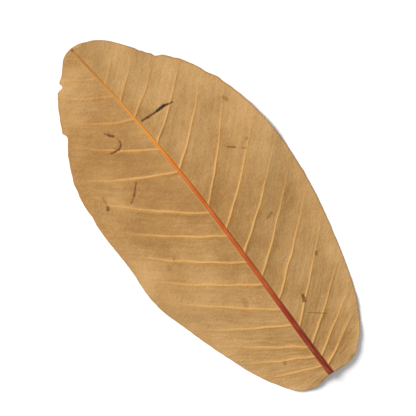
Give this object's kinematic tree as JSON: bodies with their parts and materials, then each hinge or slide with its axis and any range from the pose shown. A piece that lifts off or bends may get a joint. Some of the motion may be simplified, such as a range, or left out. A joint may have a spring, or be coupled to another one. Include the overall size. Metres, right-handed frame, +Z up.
{
  "type": "dried autumn leaf",
  "caption": "Dried oval leaf with a blunt base and rounded tip, lying underside up, with a proud midrib and curved side veins, as loose scatter or decoration.",
  "frame": {"origin": "centre of the leaf's bounding box, on the surface that the margins rest on", "axes": "+Y along the midrib from the base to the tip, +Z up out of the veined underside, +X across the blade"},
  "size_m": [0.0614, 0.126, 0.0078],
  "materials": {
    "dry_leaf": "matte"
  },
  "bodies": {
    "root": {"leaf": "dry_leaf"}
  },
  "joints": []
}
